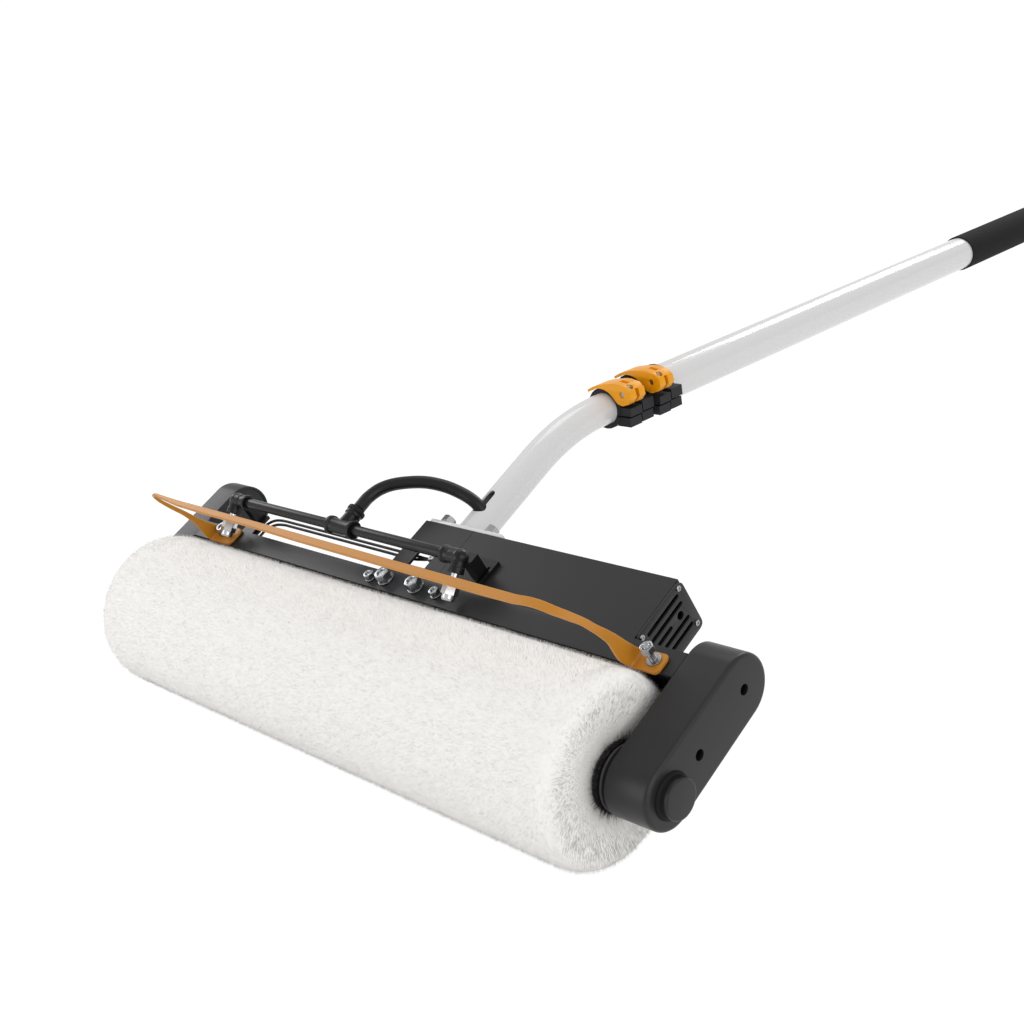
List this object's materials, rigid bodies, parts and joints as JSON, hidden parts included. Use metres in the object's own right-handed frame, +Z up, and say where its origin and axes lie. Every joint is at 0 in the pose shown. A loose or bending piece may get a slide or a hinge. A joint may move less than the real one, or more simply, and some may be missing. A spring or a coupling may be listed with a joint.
{
  "type": "water-fed rotating brush on a telescopic pole",
  "caption": "Motor-driven, water-fed roller brush for washing solar panels and other large surfaces, on a telescopic pole with flip-lever clamps.",
  "frame": {"origin": "centre of the underside, on the surface that the roller and the pole's end cap stand on", "axes": "+X along the roller towards the belt drive, +Y from the roller along the pole, +Z up"},
  "size_m": [0.7254, 1.4532, 0.2057],
  "materials": {
    "bristle": "white nylon filament tufts, fuzzy",
    "black_paint": "satin charcoal powder coat",
    "black_plastic": "moulded black plastic",
    "clamp_plastic": "moulded charcoal nylon",
    "orange_paint": "amber orange powder coat",
    "orange_plastic": "moulded amber orange plastic",
    "white_pole": "gloss white powder coat on aluminium tube",
    "white_flange": "gloss white powder coat",
    "grip_foam": "black foam rubber",
    "rubber": "black rubber",
    "steel": "turned steel",
    "zinc": "bright zinc plate",
    "aluminium": "turned aluminium"
  },
  "bodies": {
    "head": {"belt_cover": "black_paint", "belt_backplate": "black_paint", "bearing_cap": "black_paint", "idler_housing": "black_paint", "idler_plate": "black_paint", "beam": "black_paint", "motor_box": "black_paint", "vented_end_cap": "black_paint", "pole_saddle": "black_paint", "spray_pipe_left": "black_plastic", "spray_pipe_right": "black_plastic", "spray_tee": "black_plastic", "hose_nut": "black_plastic", "spray_elbow_left": "black_plastic", "spray_elbow_right": "black_plastic", "spray_bracket_left": "black_plastic", "spray_bracket_right": "black_plastic", "guard_bar": "orange_paint", "gooseneck_tube": "white_pole", "pole_flange": "white_flange", "drive_belt": "rubber", "water_hose": "rubber", "motor_lead": "rubber", "bearing_drive": "steel", "bearing_idle": "steel", "motor_can": "steel", "motor_mount": "steel", "saddle_nut_left": "zinc", "saddle_nut_right": "zinc", "plate_nut_left": "zinc", "plate_nut_right": "zinc", "guard_nut_left": "zinc", "guard_nut_right": "zinc", "flange_bolt_left": "zinc", "flange_bolt_right": "zinc", "nozzle_left": "zinc", "nozzle_right": "zinc", "lead_gland": "zinc", "motor_gearhead": "aluminium"},
    "brush": {"bristles": "bristle", "brush_core": "black_plastic", "hub_drive": "black_plastic", "hub_idle": "black_plastic", "drive_shaft": "steel", "idle_shaft": "steel", "brush_pulley": "aluminium"},
    "motor_rotor": {"motor_shaft": "steel", "motor_pulley": "aluminium"},
    "middle_section": {"middle_tube": "white_pole", "clamp_collar_middle": "clamp_plastic", "clamp_pin_middle": "steel"},
    "middle_lever": {"clamp_lever_middle": "orange_plastic"},
    "outer_section": {"outer_tube": "white_pole", "clamp_collar_outer": "clamp_plastic", "clamp_pin_outer": "steel", "grip": "grip_foam", "end_cap": "black_plastic"},
    "outer_lever": {"clamp_lever_outer": "orange_plastic"}
  },
  "joints": [
    {"name": "brush_spin", "type": "hinge", "parent": "head", "child": "brush", "pos_m": [-0.00765, -0.64999, 0.077], "axis": [1, 0, 0], "continuous": true},
    {"name": "motor_spin", "type": "hinge", "parent": "head", "child": "motor_rotor", "pos_m": [-0.00765, -0.55671, 0.10538], "axis": [1, 0, 0], "continuous": true},
    {"name": "middle_slide", "type": "slide", "parent": "head", "child": "middle_section", "axis": [0, 0.9901, -0.1405], "range_m": [0, 0.75]},
    {"name": "outer_slide", "type": "slide", "parent": "middle_section", "child": "outer_section", "axis": [0, 0.9901, -0.1405], "range_m": [0, 0.75]},
    {"name": "middle_lever_flip", "type": "hinge", "parent": "middle_section", "child": "middle_lever", "pos_m": [0.02531, -0.27541, 0.17899], "axis": [0, 0.9901, -0.1405], "range_deg": [0, 110]},
    {"name": "outer_lever_flip", "type": "hinge", "parent": "outer_section", "child": "outer_lever", "pos_m": [0.02702, -0.23398, 0.17415], "axis": [0, 0.9901, -0.1405], "range_deg": [0, 110]}
  ],
  "couplings": [
    {"joint": "motor_spin", "follows": "brush_spin", "ratio": 1.85}
  ]
}
